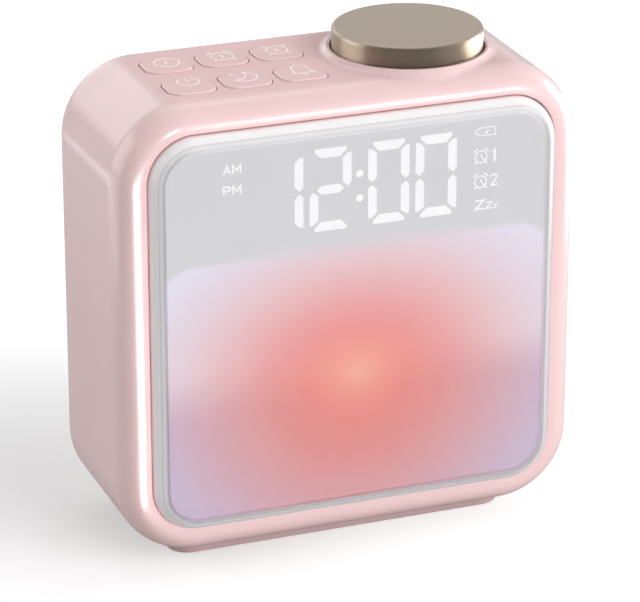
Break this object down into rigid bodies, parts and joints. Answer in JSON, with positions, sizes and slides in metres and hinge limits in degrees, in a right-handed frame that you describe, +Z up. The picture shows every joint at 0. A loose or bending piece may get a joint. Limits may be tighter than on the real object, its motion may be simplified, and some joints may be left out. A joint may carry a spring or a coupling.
{
  "type": "night light alarm clock",
  "caption": "Bedside alarm clock in a rounded case: a lit front with seven-segment figures over a night-light glow, a push-and-turn knob in a collar and soft-square keys on top.",
  "frame": {"origin": "on the surface that the clock stands on, under the middle of the whole clock's box", "axes": "+X to the right of someone facing the clock, +Y from its front to its back, +Z up"},
  "size_m": [0.106, 0.0492, 0.1113],
  "materials": {
    "case_plastic": "satin moulded plastic, pale pink",
    "foot_rubber": "soft moulded pad, pink",
    "lens_clear": "clear polished acrylic",
    "opal_panel": "opal sheet",
    "white_plastic": "white moulding",
    "lamp": "lamp packages",
    "circuit_board": "green solder mask",
    "knob_metal": "champagne anodised, satin top and polished side",
    "steel": "plated steel",
    "dark_plastic": "black moulding",
    "speaker_frame": "pressed and painted",
    "speaker_paper": "pressed paper cone",
    "magnet": "ferrite magnet",
    "foam": "adhesive foam ring",
    "cell_wrap": "shrunk sleeve on a steel can"
  },
  "bodies": {
    "case": {"main_case": "case_plastic", "rear_cover": "case_plastic", "base_foot": "foot_rubber", "front_lens": "lens_clear", "light_diffuser": "opal_panel", "light_box": "white_plastic", "segment_reflector": "white_plastic", "segment_leds": "lamp", "night_light_leds": "lamp", "led_board": "circuit_board", "key_board": "circuit_board", "encoder_board": "circuit_board", "main_board": "circuit_board", "light_stack_screws": "steel", "key_board_screws": "steel", "main_board_screws": "steel", "cover_screws": "steel", "encoder_body": "steel", "encoder_nut": "steel", "usb_socket": "steel", "key_switches": "dark_plastic", "main_board_chips": "dark_plastic", "speaker_basket": "speaker_frame", "speaker_cone": "speaker_paper", "speaker_magnet": "magnet", "speaker_gasket": "foam", "battery_cell": "cell_wrap"},
    "encoder_push": {"encoder_plunger": "dark_plastic"},
    "knob": {"knob_cap": "knob_metal", "knob_hub": "dark_plastic", "encoder_shaft": "steel"},
    "clock_key": {"clock_key": "case_plastic", "clock_switch_button": "dark_plastic"},
    "alarm_one_key": {"alarm_one_key": "case_plastic", "alarm_one_switch_button": "dark_plastic"},
    "alarm_two_key": {"alarm_two_key": "case_plastic", "alarm_two_switch_button": "dark_plastic"},
    "power_key": {"power_key": "case_plastic", "power_switch_button": "dark_plastic"},
    "moon_key": {"moon_key": "case_plastic", "moon_switch_button": "dark_plastic"},
    "bell_key": {"bell_key": "case_plastic", "bell_switch_button": "dark_plastic"}
  },
  "joints": [
    {"name": "snooze_push", "type": "slide", "parent": "case", "child": "encoder_push", "axis": [0, 0, -1], "range_m": [0, 0.0005], "stiffness_N_per_m": 6000, "springref_m": -0.0005},
    {"name": "knob_turn", "type": "hinge", "parent": "encoder_push", "child": "knob", "pos_m": [0.0208, 0.0006, 0.104], "axis": [0, 0, 1], "continuous": true},
    {"name": "clock_press", "type": "slide", "parent": "case", "child": "clock_key", "axis": [0, 0, -1], "range_m": [0, 0.0005], "stiffness_N_per_m": 800, "springref_m": -0.0005},
    {"name": "alarm_one_press", "type": "slide", "parent": "case", "child": "alarm_one_key", "axis": [0, 0, -1], "range_m": [0, 0.0005], "stiffness_N_per_m": 800, "springref_m": -0.0005},
    {"name": "alarm_two_press", "type": "slide", "parent": "case", "child": "alarm_two_key", "axis": [0, 0, -1], "range_m": [0, 0.0005], "stiffness_N_per_m": 800, "springref_m": -0.0005},
    {"name": "power_press", "type": "slide", "parent": "case", "child": "power_key", "axis": [0, 0, -1], "range_m": [0, 0.0005], "stiffness_N_per_m": 800, "springref_m": -0.0005},
    {"name": "moon_press", "type": "slide", "parent": "case", "child": "moon_key", "axis": [0, 0, -1], "range_m": [0, 0.0005], "stiffness_N_per_m": 800, "springref_m": -0.0005},
    {"name": "bell_press", "type": "slide", "parent": "case", "child": "bell_key", "axis": [0, 0, -1], "range_m": [0, 0.0005], "stiffness_N_per_m": 800, "springref_m": -0.0005}
  ]
}
